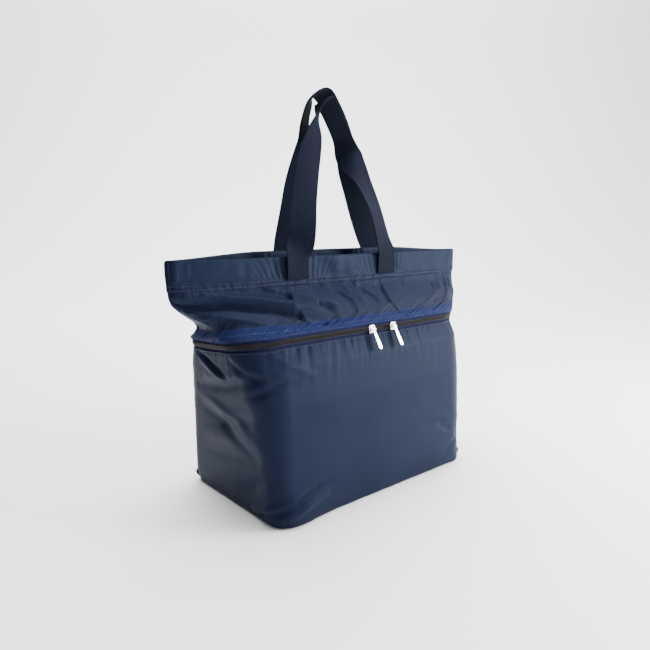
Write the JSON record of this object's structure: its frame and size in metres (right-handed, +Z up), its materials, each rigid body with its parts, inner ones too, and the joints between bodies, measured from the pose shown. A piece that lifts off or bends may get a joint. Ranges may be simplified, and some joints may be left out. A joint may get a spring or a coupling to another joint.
{
  "type": "tote bag",
  "caption": "Soft nylon tote bag with a boxed base, a zipped pocket across the front, a stitched top hem and a pair of webbing carry handles that fold outward.",
  "frame": {"origin": "centre of the base, on the surface the bag stands on", "axes": "+Z up, +X to the right along the front, +Y towards the back; the zipped pocket faces -Y"},
  "size_m": [0.542, 0.218, 0.558],
  "materials": {
    "nylon": "plain-weave nylon with a soft sheen",
    "lining": "matt coated reverse side of the nylon",
    "webbing": "twill-woven nylon webbing",
    "ribbon": null,
    "zipper_tape": "herringbone woven zipper tape",
    "coil": "moulded nylon coil",
    "nickel": "bright nickel plate"
  },
  "bodies": {
    "bag": {"front_panel_lower": "nylon", "front_panel_upper": "nylon", "back_panel": "nylon", "base_panel": "nylon", "hem_band_front": "nylon", "hem_band_back": "nylon", "hem_facing_front": "lining", "hem_facing_back": "lining", "side_seam_binding_left": "lining", "side_seam_binding_right": "lining", "base_seam_binding": "lining", "corner_dart_left": "nylon", "corner_dart_right": "nylon", "pocket_lining": "lining", "ribbon_tape": "ribbon", "zipper_tape_upper": "zipper_tape", "zipper_tape_lower": "zipper_tape", "zipper_coil_upper": "coil", "zipper_coil_lower": "coil", "strap_end_front_left": "webbing", "strap_end_front_right": "webbing", "strap_end_back_left": "webbing", "strap_end_back_right": "webbing"},
    "front_handle": {"handle_front": "webbing"},
    "back_handle": {"handle_back": "webbing"},
    "left_slider": {"slider_left": "nickel"},
    "right_slider": {"slider_right": "nickel"},
    "left_pull": {"pull_left": "nickel"},
    "right_pull": {"pull_right": "nickel"}
  },
  "joints": [
    {"name": "front_handle_fold", "type": "hinge", "parent": "bag", "child": "front_handle", "pos_m": [0, -0.0234, 0.2985], "axis": [1, 0, 0], "range_deg": [0, 120]},
    {"name": "back_handle_fold", "type": "hinge", "parent": "bag", "child": "back_handle", "pos_m": [0, 0.0234, 0.2985], "axis": [-1, 0, 0], "range_deg": [0, 120]},
    {"name": "left_slider_travel", "type": "slide", "parent": "bag", "child": "left_slider", "axis": [1, 0, 0], "range_m": [-0.136, 0.012]},
    {"name": "right_slider_travel", "type": "slide", "parent": "bag", "child": "right_slider", "axis": [1, 0, 0], "range_m": [-0.012, 0.1]},
    {"name": "left_pull_flip", "type": "hinge", "parent": "left_slider", "child": "left_pull", "pos_m": [-0.004, -0.0854, 0.23], "axis": [-1, 0, 0], "range_deg": [0, 140]},
    {"name": "right_pull_flip", "type": "hinge", "parent": "right_slider", "child": "right_pull", "pos_m": [0.038, -0.0854, 0.23], "axis": [-1, 0, 0], "range_deg": [0, 140]}
  ]
}
